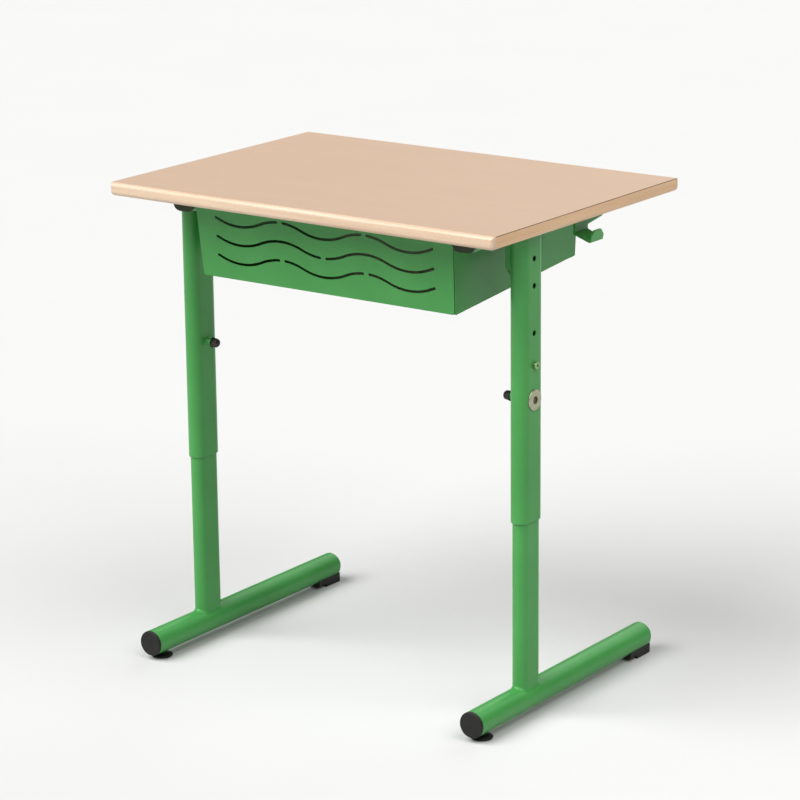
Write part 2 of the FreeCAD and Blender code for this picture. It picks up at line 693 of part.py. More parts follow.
def make_tray():
    """One folded sheet: a front with wave slots, a sloping hemmed floor, leaning sides and flanges."""
    body = new_body("tray")
    across = FreeCAD.Vector(1, 0, 0)
    notch = "sizes.tray_corner_radius"
    rear_half = f"({TRAY_HALF} + {TRAY_RISE} * {TRAY_LEAN})"
    front = new_sketch(body, "XZ_Plane", "0", across, "sizes.tray_tilt")
    top_half = f"({TRAY_FRONT_HALF} + {TRAY_FRONT_HEIGHT} * cos(sizes.tray_tilt * 1deg) * {TRAY_LEAN})"
    draw_polygon(front, [(f"-{TRAY_FRONT_HALF}", "0"), (TRAY_FRONT_HALF, "0"),
                         (top_half, TRAY_FRONT_HEIGHT), (f"-{top_half}", TRAY_FRONT_HEIGHT)])
    pad(body, front, "sizes.tray_sheet", reverse=True)
    for corner in (number(TRAY_FRONT_HALF), -number(TRAY_FRONT_HALF)):
        round_edges(body, "sizes.tray_corner_radius", lambda edge: lies_at(edge, X=corner))
    floor = new_sketch(body, tilt_axis=across, tilt="sizes.tray_tilt")
    draw_polygon(floor, [(f"-{TRAY_HALF}", notch), (f"{notch} - {TRAY_HALF}", "0"),
                         (f"{TRAY_HALF} - {notch}", "0"), (TRAY_HALF, notch),
                         (rear_half, TRAY_DEPTH), (f"-{rear_half}", TRAY_DEPTH)])
    pad(body, floor, "sizes.tray_sheet")
    hem = new_sketch(body, tilt_axis=across, tilt="sizes.tray_tilt")
    draw_rectangle(hem, f"-{TRAY_HALF}", TRAY_HALF, f"{TRAY_DEPTH} - sizes.tray_hem", TRAY_DEPTH)
    pad(body, hem, "sizes.tray_sheet", reverse=True)
    round_edges(body, "sizes.tray_bend", lambda edge: lies_at(edge, Y=0, Z=0))
    for _, side in SIDES:
        make_tray_side(body, side)
    waves = new_sketch(body, "XZ_Plane", "0", across, "sizes.tray_tilt")
    draw_wave_rows(waves)
    pocket(body, waves, "2 * sizes.tray_sheet")
    place(body, y=TRAY_Y, z=TRAY_Z)


# Bag hook

def make_hook():
    """Bent plate on the right: a foot under the top, a tapering web, a sloping leg and an upturned tip."""
    body = new_body("bag_hook")
    half = "sizes.hook_width / 2"
    sheet = "sizes.hook_sheet"
    tail = f"{half} + sizes.hook_tail"
    foot = new_sketch(body, "XY_Plane", f"-{sheet}")
    draw_rectangle(foot, "-sizes.hook_foot", sheet, f"-{half}", tail)
    for y in HOOK_SCREW_ROWS:
        draw_circle(foot, f"{HOOK_SCREW_X} - {HOOK_X}", f"{y} - {HOOK_Y}", WOOD_SCREW_HOLE)
    pad(body, foot, sheet)
    web = new_sketch(body, "YZ_Plane")
    draw_polygon(web, [(f"-{half}", "-sizes.hook_web_drop"), (half, "-sizes.hook_web_drop"),
                       (half, "-sizes.hook_tail_root"), (tail, "-sizes.hook_tail_drop"), (tail, "0"),
                       (f"-{half}", "0")])
    pad(body, web, sheet)
    bend = new_sketch(body, "XZ_Plane", half)
    turn_x = "sizes.hook_reach"
    turn_z = "(-sizes.hook_web_drop - sizes.hook_fall)"
    tip_x = f"({turn_x} + sizes.hook_flare)"
    tip_z = f"({turn_z} + sizes.hook_rise)"
    draw_polygon(bend, [("0", f"-sizes.hook_web_drop - {sheet} / 2"), (turn_x, turn_z),
                        (f"{turn_x} + {sheet}", turn_z), (f"{tip_x} + {sheet}", tip_z), (tip_x, tip_z),
                        (turn_x, f"{turn_z} + {sheet}"), (sheet, f"-sizes.hook_web_drop + {sheet} / 2"),
                        ("0", f"-sizes.hook_web_drop + {sheet}")])
    pad(body, bend, "sizes.hook_width", reverse=True)
    corners = new_sketch(body, "YZ_Plane", f"{tip_x} + 2 * {sheet}")
    for sign in ("", "-"):
        outer = f"{sign}({half} + {sheet})"
        inner = f"{sign}sizes.hook_tip_width / 2"
        shoulder = f"{tip_z} - (sizes.hook_width - sizes.hook_tip_width) / 2 - {sheet}"
        draw_polygon(corners, [(outer, shoulder), (outer, f"{tip_z} + {sheet}"),
                               (inner, f"{tip_z} + {sheet}"), (inner, tip_z)])
    pocket(body, corners, f"sizes.hook_flare + 4 * {sheet}")
    turn = number(turn_x)
    for height in (number(f"{turn_z} + {sheet}"), number(turn_z)):
        round_edges(body, "sizes.hook_bend", lambda edge: lies_at(edge, X=turn, Z=height))
    place(body, HOOK_X, HOOK_Y, UNDERSIDE)


# Fixings

def make_clamp_screw(name, side):
    """Bolt through sleeve and leg: a wide thin head with a socket and a shoulder in the sleeve's wall."""
    body = new_body(f"clamp_screw_{name}")
    nut_side = "(sizes.clamp_boss_length + sizes.nut_washer_thickness + sizes.nut_height)"
    tip = f"(sizes.running_clearance - sizes.sleeve_width - {nut_side})"
    step = "(sizes.running_clearance - sizes.sleeve_wall - sizes.leg_gap)"
    head = "sizes.clamp_head_diameter / 2"
    shoulder = "sizes.clamp_shoulder_diameter / 2"
    shank = "sizes.clamp_bolt_diameter / 2"
    profile = new_sketch(body, "XZ_Plane")
    top = "sizes.clamp_head_thickness"
    draw_polygon(profile, [(tip, "0"), (top, "0"), (top, head), ("0", head), ("0", shoulder),
                           (step, shoulder), (step, shank), (tip, shank)])
    revolve(body, profile, "H_Axis")
    face = number("sizes.clamp_head_thickness")
    round_edges(body, "sizes.clamp_head_round", lambda edge: lies_at(edge, X=face))
    socket = new_sketch(body, "YZ_Plane", "sizes.clamp_head_thickness")
    draw_hexagon(socket, "sizes.clamp_socket_flats")
    pocket(body, socket, "sizes.clamp_socket_depth")
    place(body, signed(side, f"({POST_X} + {SLEEVE_HALF})"), POST_Y, CLAMP_Z, side < 0)


def make_clamp_nut(name, side):
    """Domed nut and its washer on the boss at the inner face of the post."""
    body = new_body(f"clamp_nut_{name}")
    washer = new_sketch(body, "YZ_Plane")
    draw_circle(washer, "0", "0", "sizes.nut_washer / 2")
    pad(body, washer, "sizes.nut_washer_thickness")
    hexagon = new_sketch(body, "YZ_Plane", "sizes.nut_washer_thickness")
    draw_hexagon(hexagon, "sizes.nut_flats")
    pad(body, hexagon, "sizes.nut_height")
    dome_base = "sizes.nut_washer_thickness + sizes.nut_height"
    dome = new_sketch(body, "YZ_Plane", dome_base)
    draw_circle(dome, "0", "0", "sizes.nut_flats / 2")
    pad(body, dome, "sizes.nut_dome")
    face = number(f"{dome_base} + sizes.nut_dome")
    round_edges(body, "sizes.nut_dome - sizes.press_clearance", lambda edge: lies_at(edge, X=face))
    bore = new_sketch(body, "YZ_Plane")
    draw_circle(bore, "0", "0", BOLT_HOLE)
    pocket(body, bore, dome_base, reverse=True)
    seat = f"({POST_X} - {SLEEVE_HALF} - sizes.clamp_boss_length)"
    place(body, signed(side, seat), POST_Y, CLAMP_Z, side > 0)


def make_index_screw(name, side):
    """Short round-headed socket screw through the sleeve's outer wall, its tip against the leg."""
    body = new_body(f"index_screw_{name}")
    tip = "(sizes.press_clearance - sizes.sleeve_wall - sizes.leg_gap)"
    top = "sizes.index_head_thickness"
    head = "sizes.index_head_diameter / 2"
    shank = "sizes.index_screw_diameter / 2"
    profile = new_sketch(body, "XZ_Plane")
    draw_polygon(profile, [(tip, "0"), (top, "0"), (top, head), ("0", head), ("0", shank), (tip, shank)])
    revolve(body, profile, "H_Axis")
    face = number("sizes.index_head_thickness")
    round_edges(body, "sizes.index_head_round", lambda edge: lies_at(edge, X=face))
    socket = new_sketch(body, "YZ_Plane", "sizes.index_head_thickness")
    draw_hexagon(socket, "sizes.index_socket_flats")
    pocket(body, socket, "sizes.index_socket_depth")
    place(body, signed(side, f"({POST_X} + {SLEEVE_HALF})"), POST_Y, INDEX_Z, side < 0)


def make_screw(label, x, y, seat, diameter, length):
    """A pan-head screw driven upwards from a seat."""
    body = new_body(label)
    profile = new_sketch(body, "XZ_Plane")
    head = "sizes.wood_screw_head / 2"
    face = "-sizes.wood_screw_head_height"
    shank = f"{diameter} / 2"
    draw_polygon(profile, [("0", face), ("sizes.wood_screw_head_top / 2", face),
                           (head, "-sizes.wood_screw_head_rim"), (head, "0"), (shank, "0"),
                           (shank, length), ("0", length)])
    revolve(body, profile, "V_Axis")
    place(body, x, y, seat)


def make_screws():
    """Screws of the arms and the hook into the top, and of the tray into the arms."""
    bite = "sizes.backing_thickness + sizes.wood_screw_bite - sizes.screw_clearance"
    for name, side in SIDES:
        for end, y in zip(("front", "rear"), TOP_SCREW_ROWS):
            make_screw(f"top_screw_{end}_{name}", signed(side, ARM_X), y, ARM_BOTTOM,
                       "sizes.wood_screw_diameter", f"sizes.arm_height + {bite}")
        for end, y in zip(("front", "rear"), TRAY_SCREW_ROWS):
            make_screw(f"tray_screw_{end}_{name}", signed(side, ARM_X), y, f"{ARM_BOTTOM} - sizes.tray_sheet",
                       "sizes.sheet_screw_diameter", "sizes.tray_screw_length")
    for end, y in zip(("front", "rear"), HOOK_SCREW_ROWS):
        make_screw(f"hook_screw_{end}", HOOK_SCREW_X, y, f"{UNDERSIDE} - sizes.hook_sheet",
                   "sizes.wood_screw_diameter", f"sizes.hook_sheet + {bite}")


# Legs and feet

def make_leg_tube(name, side):
    """Inner flat-oval tube, slotted for the clamp bolt and coped onto the foot."""
    body = new_body(f"leg_tube_{name}")
    section = new_sketch(body, "XY_Plane", FOOT_Z)
    draw_oval(section, LEG_DEPTH, LEG_WIDTH, upright=True)
    draw_oval(section, LEG_BORE_DEPTH, LEG_BORE_WIDTH, upright=True)
    pad(body, section, f"{LEG_TOP} - {FOOT_Z}")
    slot = new_sketch(body, "YZ_Plane")
    draw_oval(slot, f"sizes.travel + 2 * {BOLT_HOLE}", f"2 * {BOLT_HOLE}", upright=True,
              middle=f"({CLAMP_Z} - sizes.travel / 2)")
    pocket(body, slot, both_ways=True)
    cope = new_sketch(body, "XZ_Plane")
    draw_circle(cope, "0", FOOT_Z, FOOT_RADIUS)
    pocket(body, cope, both_ways=True)
    place(body, signed(side, POST_X), POST_Y)


def make_leg_guide(name, side):
    """Plug on the leg's upper end that guides it in the sleeve."""
    body = new_body(f"leg_guide_{name}")
    head = new_sketch(body)
    run = "2 * sizes.running_clearance"
    draw_oval(head, f"{SLEEVE_BORE_DEPTH} - {run}", f"{SLEEVE_BORE_WIDTH} - {run}", upright=True)
    pad(body, head, "sizes.guide_flange")
    shank = new_sketch(body)
    seat = "2 * sizes.press_clearance"
    draw_oval(shank, f"{LEG_BORE_DEPTH} - {seat}", f"{LEG_BORE_WIDTH} - {seat}", upright=True)
    pad(body, shank, "sizes.plug_insert", reverse=True)
    place(body, signed(side, POST_X), POST_Y, LEG_TOP)


def make_foot_tube(name, side):
    """Round floor tube from front to back, drilled below for the levelling stud."""
    body = new_body(f"foot_tube_{name}")
    section = new_sketch(body, "XZ_Plane")
    draw_circle(section, "0", FOOT_Z, FOOT_RADIUS)
    draw_circle(section, "0", FOOT_Z, FOOT_BORE)
    pad(body, section, "sizes.foot_length", reverse=True)
    hole = new_sketch(body)
    draw_circle(hole, "0", GLIDE_SETBACK, STUD_HOLE)
    pocket(body, hole, FOOT_Z, reverse=True)
    place(body, signed(side, POST_X), FOOT_FRONT)


def make_foot_plug(name, side):
    """Round black plug in the foot's front end."""
    body = new_body(f"foot_plug_{name}")
    profile = new_sketch(body, "YZ_Plane")
    shank = f"({FOOT_BORE} - sizes.press_clearance)"
    draw_polygon(profile, [("-sizes.plug_thickness", "0"), ("sizes.plug_insert", "0"),
                           ("sizes.plug_insert", shank),
                           ("0", shank), ("0", FOOT_RADIUS), ("-sizes.plug_thickness", FOOT_RADIUS)])
    revolve(body, profile, "H_Axis")
    face = -number("sizes.plug_thickness")
    round_edges(body, "sizes.plug_round", lambda edge: lies_at(edge, Y=face))
    place(body, signed(side, POST_X), FOOT_FRONT, FOOT_Z)


def make_rear_shoe(name, side):
    """Black shoe under the foot's rear end: a floor pad, a tongue along the tube and a plug inside it."""
    body = new_body(f"rear_shoe_{name}")
    half = f"({FOOT_RADIUS} - sizes.shoe_inset)"
    crest = f"({FOOT_Z} - sqrt({FOOT_RADIUS}^2 - {half}^2))"
    block = new_sketch(body)
    draw_rectangle(block, f"-{half}", half,
                   "sizes.shoe_end_wall - sizes.shoe_pad_length", "sizes.shoe_end_wall")
    pad(body, block, crest)
    tongue = new_sketch(body, "XZ_Plane")
    draw_rectangle(tongue, f"-{half}", half, "sizes.ground_clearance - sizes.shoe_tongue_thickness", crest)
    pad(body, tongue, "sizes.shoe_tongue_length")
    seat = new_sketch(body, "XZ_Plane")
    draw_circle(seat, "0", FOOT_Z, FOOT_RADIUS)
    pocket(body, seat, "2 * sizes.shoe_tongue_length", reverse=True)
    plug = new_sketch(body, "XZ_Plane", "sizes.plug_insert")
    draw_circle(plug, "0", FOOT_Z, f"{FOOT_BORE} - sizes.press_clearance")
    pad(body, plug, "sizes.plug_insert + sizes.shoe_end_wall", reverse=True)
    place(body, signed(side, POST_X), FOOT_REAR)


def make_glide(name, side):
    """Levelling foot: a domed disc on a stud."""
    body = new_body(f"glide_{name}")
    profile = new_sketch(body, "XZ_Plane")
    rim = "sizes.glide_diameter / 2"
    neck = "sizes.glide_neck_diameter / 2"
    stud = "sizes.glide_stud_diameter / 2"
    neck_top = "(sizes.ground_clearance - sizes.running_clearance)"
    stud_top = f"({neck_top} + sizes.glide_stud_length)"
    draw_polygon(profile, [("0", "0"), ("sizes.glide_base_diameter / 2", "0"),
                           (rim, "sizes.glide_edge_height"),
                           (neck, "sizes.glide_height"), (neck, neck_top), (stud, neck_top), (stud, stud_top),
                           ("0", stud_top)])
    revolve(body, profile, "V_Axis")
    edge_height = number("sizes.glide_edge_height")
    round_edges(body, "sizes.glide_round", lambda edge: lies_at(edge, Z=edge_height))
    place(body, signed(side, POST_X), GLIDE_Y)


def make_glide_insert(name, side):
    """Nut welded inside the foot for the levelling stud."""
    body = new_body(f"glide_insert_{name}")
    ring = new_sketch(body)
    draw_circle(ring, "0", "0", "sizes.insert_diameter / 2")
    draw_circle(ring, "0", "0", STUD_HOLE)
    pad(body, ring, "sizes.insert_height")
    seat = f"{FOOT_Z} - sqrt({FOOT_BORE}^2 - (sizes.insert_diameter / 2)^2)"
    place(body, signed(side, POST_X), GLIDE_Y, seat)


def make_desk():
    """Makes every sub-part."""
    make_core()
    make_laminate()
    make_backing()
    make_long_lipping("lipping_front", turned=False)
    make_long_lipping("lipping_rear", turned=True)
    make_side_lipping("lipping_right", turned=False)
    make_side_lipping("lipping_left", turned=True)
    make_tray()
    make_hook()
    make_screws()
    for name, side in SIDES:
        make_arm(name, side)
        make_arm_plug(name, side, "front", turned=False)
        make_arm_plug(name, side, "rear", turned=True)
        make_bracket(name, side)
        make_sleeve(name, side)
        make_bush(name, side)
        make_sleeve_cap(name, side)
        make_clamp_screw(name, side)
        make_clamp_nut(name, side)
        make_index_screw(name, side)
        make_leg_tube(name, side)
        make_leg_guide(name, side)
        make_foot_tube(name, side)
        make_foot_plug(name, side)
        make_rear_shoe(name, side)
        make_glide(name, side)
        make_glide_insert(name, side)


def check_document():
    """Stops if any object failed or any sub-part is not one valid solid."""
    for item in doc.Objects:
        if "Invalid" in item.State or "Error" in item.State:
            raise ValueError(f"{item.Label} failed: {item.State}")
    for piece in subparts:
        shape = piece.Shape
        if shape.isNull() or not shape.isValid() or len(shape.Solids) != 1:
            raise ValueError(f"{piece.Label} is not one valid solid")


def write_parts():
    """Writes one file for each sub-part."""
    os.makedirs("parts", exist_ok=True)
    for piece in subparts:
        piece.Shape.exportStep(f"parts/{piece.Label}.step")


make_desk()
doc.recompute()
check_document()
write_parts()
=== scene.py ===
"""Looks of the adjustable school desk: finishes, softened edges, welds, screw drives, stage and camera."""

import json
import math

import bmesh
import bpy
from mathutils import Color, Matrix, Vector
from mathutils.geometry import tessellate_polygon

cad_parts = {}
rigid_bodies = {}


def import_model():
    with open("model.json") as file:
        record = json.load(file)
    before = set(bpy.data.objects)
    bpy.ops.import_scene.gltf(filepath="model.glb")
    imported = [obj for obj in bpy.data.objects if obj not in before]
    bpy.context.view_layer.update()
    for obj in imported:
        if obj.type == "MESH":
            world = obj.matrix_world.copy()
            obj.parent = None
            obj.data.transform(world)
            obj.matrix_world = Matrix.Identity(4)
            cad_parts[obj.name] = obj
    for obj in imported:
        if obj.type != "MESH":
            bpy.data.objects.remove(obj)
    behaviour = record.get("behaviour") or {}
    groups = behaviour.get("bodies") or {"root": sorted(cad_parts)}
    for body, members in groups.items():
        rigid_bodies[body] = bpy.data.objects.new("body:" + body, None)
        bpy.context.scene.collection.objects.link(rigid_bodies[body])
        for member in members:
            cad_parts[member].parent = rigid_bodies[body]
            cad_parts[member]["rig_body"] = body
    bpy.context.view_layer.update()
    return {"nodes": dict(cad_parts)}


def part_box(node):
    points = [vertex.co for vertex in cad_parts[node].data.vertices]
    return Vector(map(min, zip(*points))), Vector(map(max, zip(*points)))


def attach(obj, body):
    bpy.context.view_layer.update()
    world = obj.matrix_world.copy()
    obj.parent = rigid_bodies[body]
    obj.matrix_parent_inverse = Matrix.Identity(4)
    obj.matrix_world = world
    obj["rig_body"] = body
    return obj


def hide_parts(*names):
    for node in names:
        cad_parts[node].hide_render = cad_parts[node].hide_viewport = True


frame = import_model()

NODES = frame["nodes"]
SIDES = {"left": -1, "right": 1}
MM = 0.001
SIXTH_TURN = math.pi / 3

# Camera, from the photograph's own perspective, with angles in degrees

IMAGE_SIDE = 800
FOCAL_PIXELS = 3041.9
SENSOR_WIDTH = 36
EYE = Vector((2.6553, -3.6419, 1.6742))
AZIMUTH = 36.025
ELEVATION = 15.606
ROLL = -0.607

# Floor and light, with angles in degrees

FLOOR_SIDE = 120
FLOOR_COLOUR = (0.555, 0.555, 0.55)
SKY_STRENGTH = 0.08
HORIZON_STRENGTH = 0.9
HORIZON_RISE = 0.06
KEY = {"azimuth": -28, "elevation": 48, "breadth": 50, "strength": 4.35}
FILL = {"azimuth": 78, "elevation": 52, "breadth": 50, "strength": 2.0}
BACK = {"azimuth": 186, "elevation": 28, "breadth": 50, "strength": 0.8}


# Shader helpers

SCREEN_WHITE = 255
# Most values of a noise lie in this range.
NOISE_LOW = 0.3
NOISE_HIGH = 0.7
# Places of a Mix node's colour sockets, because it has other sockets with the same names.
MIX_SHARE = 0
MIX_FIRST = 6
MIX_SECOND = 7
MIX_RESULT = 2


def from_screen(*levels):
    """Linear colour of the red, green and blue levels, from 0 to 255, that a screen shows."""
    shown = Color([level / SCREEN_WHITE for level in levels])
    return (*shown.from_srgb_to_scene_linear(), 1)


def new_material(name):
    """A new procedural material, its node tree and its shader."""
    material = bpy.data.materials.new(name)
    material.use_nodes = True
    return material, material.node_tree, material.node_tree.nodes["Principled BSDF"]


def feed(tree, socket, value):
    """Links another node's output to a socket, or sets the socket to a constant."""
    if isinstance(value, bpy.types.NodeSocket):
        tree.links.new(value, socket)
    else:
        socket.default_value = value


def add(tree, kind, **inputs):
    """A node of that kind with some of its inputs set; an underscore in a name stands for a space."""
    node = tree.nodes.new(kind)
    for name, value in inputs.items():
        feed(tree, node.inputs[name.replace("_", " ")], value)
    return node


def place_on(tree, scale):
    """The part's own coordinates in metres, times a scale on each axis."""
    source = add(tree, "ShaderNodeTexCoord")
    mapping = add(tree, "ShaderNodeMapping", Vector=source.outputs["Object"], Scale=scale)
    return mapping.outputs["Vector"]


def noise(tree, scale, detail=3, roughness=0.5):
    """Soft noise whose grains have 1 / scale metres on each axis."""
    node = add(tree, "ShaderNodeTexNoise", Vector=place_on(tree, scale), Scale=1, Detail=detail,
               Roughness=roughness)
    return node.outputs["Fac"]


def spread(tree, value, low, high, start=NOISE_LOW, end=NOISE_HIGH):
    """A value from low to high while the input goes from start to end."""
    node = add(tree, "ShaderNodeMapRange", Value=value, From_Min=start, From_Max=end,
               To_Min=low, To_Max=high)
    return node.outputs["Result"]


def mix(tree, share, first, second):
    """Two colours mixed by a share."""
    node = tree.nodes.new("ShaderNodeMix")
    node.data_type = "RGBA"
    feed(tree, node.inputs[MIX_SHARE], share)
    feed(tree, node.inputs[MIX_FIRST], first)
    feed(tree, node.inputs[MIX_SECOND], second)
    return node.outputs[MIX_RESULT]


def bump(tree, shader, height, distance):
    """Relief of that depth in metres."""
    node = add(tree, "ShaderNodeBump", Height=height, Distance=distance, Strength=1)
    tree.links.new(node.outputs["Normal"], shader.inputs["Normal"])


def along(axis, lengthwise, crosswise):
    """A scale that differs along one axis from the other two."""
    return tuple(lengthwise if name == axis else crosswise for name in "XYZ")


def evenly(scale):
    """The same scale on all three axes."""
    return (scale, scale, scale)


# Finishes

def make_laminate():
    """Beech-coloured laminate with short flecks, a fine pearl relief and the brown edge of its core."""
    material, tree, shader = new_material("laminate_decor")
    pale = from_screen(179, 154, 133)
    deep = from_screen(177, 152, 131)
    fleck = from_screen(164, 137, 115)
    brown = from_screen(92, 58, 40)
    streaks = spread(tree, noise(tree, along("X", 4, 30), 5), 0, 1)
    ground = mix(tree, streaks, pale, deep)
    dashes = spread(tree, noise(tree, along("X", 160, 1500), 2), 0, 0.45, 0.6, 0.72)
    decor = mix(tree, dashes, ground, fleck)
    facing = add(tree, "ShaderNodeSeparateXYZ", Vector=add(tree, "ShaderNodeTexCoord").outputs["Normal"])
    upward = spread(tree, facing.outputs["Z"], 0, 1, 0.6, 0.9)
    tree.links.new(mix(tree, upward, brown, decor), shader.inputs["Base Color"])
    pearl = noise(tree, evenly(1400), 2)
    tree.links.new(spread(tree, pearl, 0.5, 0.62), shader.inputs["Roughness"])
    shader.inputs["Specular IOR Level"].default_value = 0.3
    bump(tree, shader, pearl, 0.06 * MM)
    return material


def make_beech(axis, pale, warm):
    """Lacquered solid beech between two tones, with its grain along one axis."""
    material, tree, shader = new_material(f"beech_along_{axis.lower()}")
    ray = from_screen(158, 118, 87)
    rings = spread(tree, noise(tree, along(axis, 5, 130), 6, 0.55), 0, 1)
    ground = mix(tree, rings, pale, warm)
    rays = spread(tree, noise(tree, along(axis, 220, 1300), 2), 0, 0.7, 0.62, 0.7)
    tree.links.new(mix(tree, rays, ground, ray), shader.inputs["Base Color"])
    fibre = noise(tree, along(axis, 30, 2200), 3)
    tree.links.new(spread(tree, fibre, 0.34, 0.46), shader.inputs["Roughness"])
    bump(tree, shader, fibre, 0.05 * MM)
    shader.inputs["Coat Weight"].default_value = 0.15
    shader.inputs["Coat Roughness"].default_value = 0.32
    return material


def make_particle_board():
    """Pressed wood chips."""
    material, tree, shader = new_material("pressed_chips")
    chips = add(tree, "ShaderNodeTexVoronoi", Vector=place_on(tree, (260, 260, 700)), Scale=1)
    light = from_screen(206, 176, 134)
    dark = from_screen(146, 110, 74)
    tone = spread(tree, chips.outputs["Color"], 0, 1, 0.1, 0.9)
    tree.links.new(mix(tree, tone, light, dark), shader.inputs["Base Color"])
    shader.inputs["Roughness"].default_value = 0.85
    bump(tree, shader, chips.outputs["Distance"], 0.4 * MM)
    return material


def make_backing():
    """Matt brown balancing sheet under the top, faintly mottled."""
    material, tree, shader = new_material("backing_paper")
    mottle = spread(tree, noise(tree, evenly(35), 6, 0.6), 0, 1)
    light = from_screen(138, 110, 84)
    dark = from_screen(124, 97, 73)
    tree.links.new(mix(tree, mottle, light, dark), shader.inputs["Base Color"])
    tooth = noise(tree, evenly(1800), 2)
    tree.links.new(spread(tree, tooth, 0.55, 0.68), shader.inputs["Roughness"])
    bump(tree, shader, tooth, 0.05 * MM)
    return material


def make_green_paint():
    """Green powder coat: satin, with a fine orange peel and slight drifts of tone."""
    material, tree, shader = new_material("green_powder_coat")
    light = from_screen(66, 145, 71)
    deep = from_screen(58, 135, 63)
    drift = spread(tree, noise(tree, evenly(9), 4, 0.55), 0, 1)
    speck = spread(tree, noise(tree, evenly(2600), 1), 0.94, 1.04)
    tone = mix(tree, drift, light, deep)
    grained = add(tree, "ShaderNodeHueSaturation", Color=tone, Value=speck)
    tree.links.new(grained.outputs["Color"], shader.inputs["Base Color"])
    peel = noise(tree, evenly(420), 2, 0.4)
    tree.links.new(spread(tree, peel, 0.3, 0.4), shader.inputs["Roughness"])
    shader.inputs["Specular IOR Level"].default_value = 0.35
    bump(tree, shader, peel, 0.12 * MM)
    return material


def make_plastic(name, dark, light):
    """Moulded plastic between two dark tones, with a spark-eroded grain."""
    material, tree, shader = new_material(name)
    bloom = spread(tree, noise(tree, evenly(60), 5, 0.6), 0, 1)
    tree.links.new(mix(tree, bloom, dark, light), shader.inputs["Base Color"])
    grain = noise(tree, evenly(1500), 2)
    tree.links.new(spread(tree, grain, 0.42, 0.58), shader.inputs["Roughness"])
    shader.inputs["Specular IOR Level"].default_value = 0.3
    bump(tree, shader, grain, 0.08 * MM)
    return material


def make_black_nut():
    """Blackened steel, oily and slightly rubbed."""
    material, tree, shader = new_material("blackened_steel")
    rubbed = spread(tree, noise(tree, evenly(300), 4), 0, 1)
    dark = from_screen(36, 35, 35)
    light = from_screen(74, 72, 70)
    tree.links.new(mix(tree, rubbed, dark, light), shader.inputs["Base Color"])
    tree.links.new(spread(tree, rubbed, 0.45, 0.3, 0, 1), shader.inputs["Roughness"])
    shader.inputs["Metallic"].default_value = 0.8
    bump(tree, shader, rubbed, 0.03 * MM)
    return material


def make_zinc(name, cool, warm):
    """Zinc plate with a cloudy passivation between two tones."""
    material, tree, shader = new_material(name)
    cloud = spread(tree, noise(tree, evenly(220), 5, 0.6), 0, 1)
    tree.links.new(mix(tree, cloud, cool, warm), shader.inputs["Base Color"])
    tree.links.new(spread(tree, cloud, 0.26, 0.42, 0, 1), shader.inputs["Roughness"])
    shader.inputs["Metallic"].default_value = 1
    bump(tree, shader, noise(tree, evenly(1600), 2), 0.03 * MM)
    return material


def make_shade_grease():
    """Olive grease mottled with dust, whose dark tones also paint the shade at the bottom of a socket."""
    material, tree, shader = new_material("painted_shade_grease")
    dust = spread(tree, noise(tree, evenly(500), 4), 0, 1)
    # Dark tones that paint the shade at a socket's bottom, besides the grease's own olive colour.
    dark = from_screen(78, 80, 56)
    light = from_screen(108, 108, 80)
    tree.links.new(mix(tree, dust, dark, light), shader.inputs["Base Color"])
    tree.links.new(spread(tree, dust, 0.5, 0.7, 0, 1), shader.inputs["Roughness"])
    bump(tree, shader, dust, 0.05 * MM)
    return material


FINISHES = {
    "laminate": make_laminate(),
    # The paler beech of the front and rear lippings paints a highlight on their rounded edges.
    "beech": make_beech("X", from_screen(205, 181, 156), from_screen(192, 164, 138)),
    "particle_board": make_particle_board(),
    "backing": make_backing(),
    "green_paint": make_green_paint(),
    "black_plastic": make_plastic("moulded_black", from_screen(16, 15, 14), from_screen(27, 26, 23)),
    "black_nut": make_black_nut(),
    "zinc": make_zinc("bright_zinc", from_screen(176, 179, 156), from_screen(158, 157, 126)),
}
# Dark grease finish that also paints the shade in the clamp sockets.
SHADE_GREASE = make_shade_grease()
SLOT_OF = {name: node.material_slots[0].material.name for name, node in NODES.items()}


def own_finishes():
    """Finishes that differ from their slot's: side lippings with their grain front to back and a darker tone
    that paints their shade, dull olive arm plugs and index screws in a greener zinc tone."""
    # Darker, yellower beech for the side lippings: painted shade on the sides, besides their grain front to
    # back.
    beech = make_beech("Y", from_screen(211, 173, 132), from_screen(198, 157, 115))
    plastic = make_plastic("moulded_olive", from_screen(36, 46, 26), from_screen(45, 56, 33))
    # A greener zinc tone for the index screws.
    zinc = make_zinc("green_zinc", from_screen(158, 188, 140), from_screen(136, 166, 112))
    own = {}
    for side in SIDES:
        own[f"lipping_{side}"] = beech
        own[f"arm_plug_front_{side}"] = plastic
        own[f"arm_plug_rear_{side}"] = plastic
        own[f"index_screw_{side}"] = zinc
    return own


OWN_FINISHES = own_finishes()


def finish_of(node):
    """A node's own finish, or that of its slot."""
    return OWN_FINISHES.get(node, FINISHES[SLOT_OF[node]])


for name, node in NODES.items():
    for slot in node.material_slots:
        slot.material = finish_of(name)


# Pieces

CREASE_ANGLE = math.radians(38)


def new_piece(name, bm, body, material):
    """A mesh piece with smooth shading between its creases that rides on a body."""
    mesh = bpy.data.meshes.new(name)
    bmesh.ops.recalc_face_normals(bm, faces=bm.faces)
    for face in bm.faces:
        face.smooth = True
    for edge in bm.edges:
        edge.smooth = edge.calc_face_angle(0) < CREASE_ANGLE
    bm.to_mesh(mesh)
    bm.free()
    mesh.materials.append(material)
    piece = bpy.data.objects.new(name, mesh)
    bpy.context.scene.collection.objects.link(piece)
    even = piece.modifiers.new("even_normals", "WEIGHTED_NORMAL")
    even.keep_sharp = True
    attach(piece, body)
    return piece


def stand_for(node, ending, bm):
    """A mesh piece in place of a node, on its body and in its finish."""
    piece = new_piece(f"{node}_{ending}", bm, NODES[node]["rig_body"], finish_of(node))
    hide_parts(node)


def join_rings(bm, first, second):
    """Faces between two rings with the same number of corners."""
    for index in range(len(first)):
        after = (index + 1) % len(first)
        bm.faces.new((first[index], first[after], second[after], second[index]))


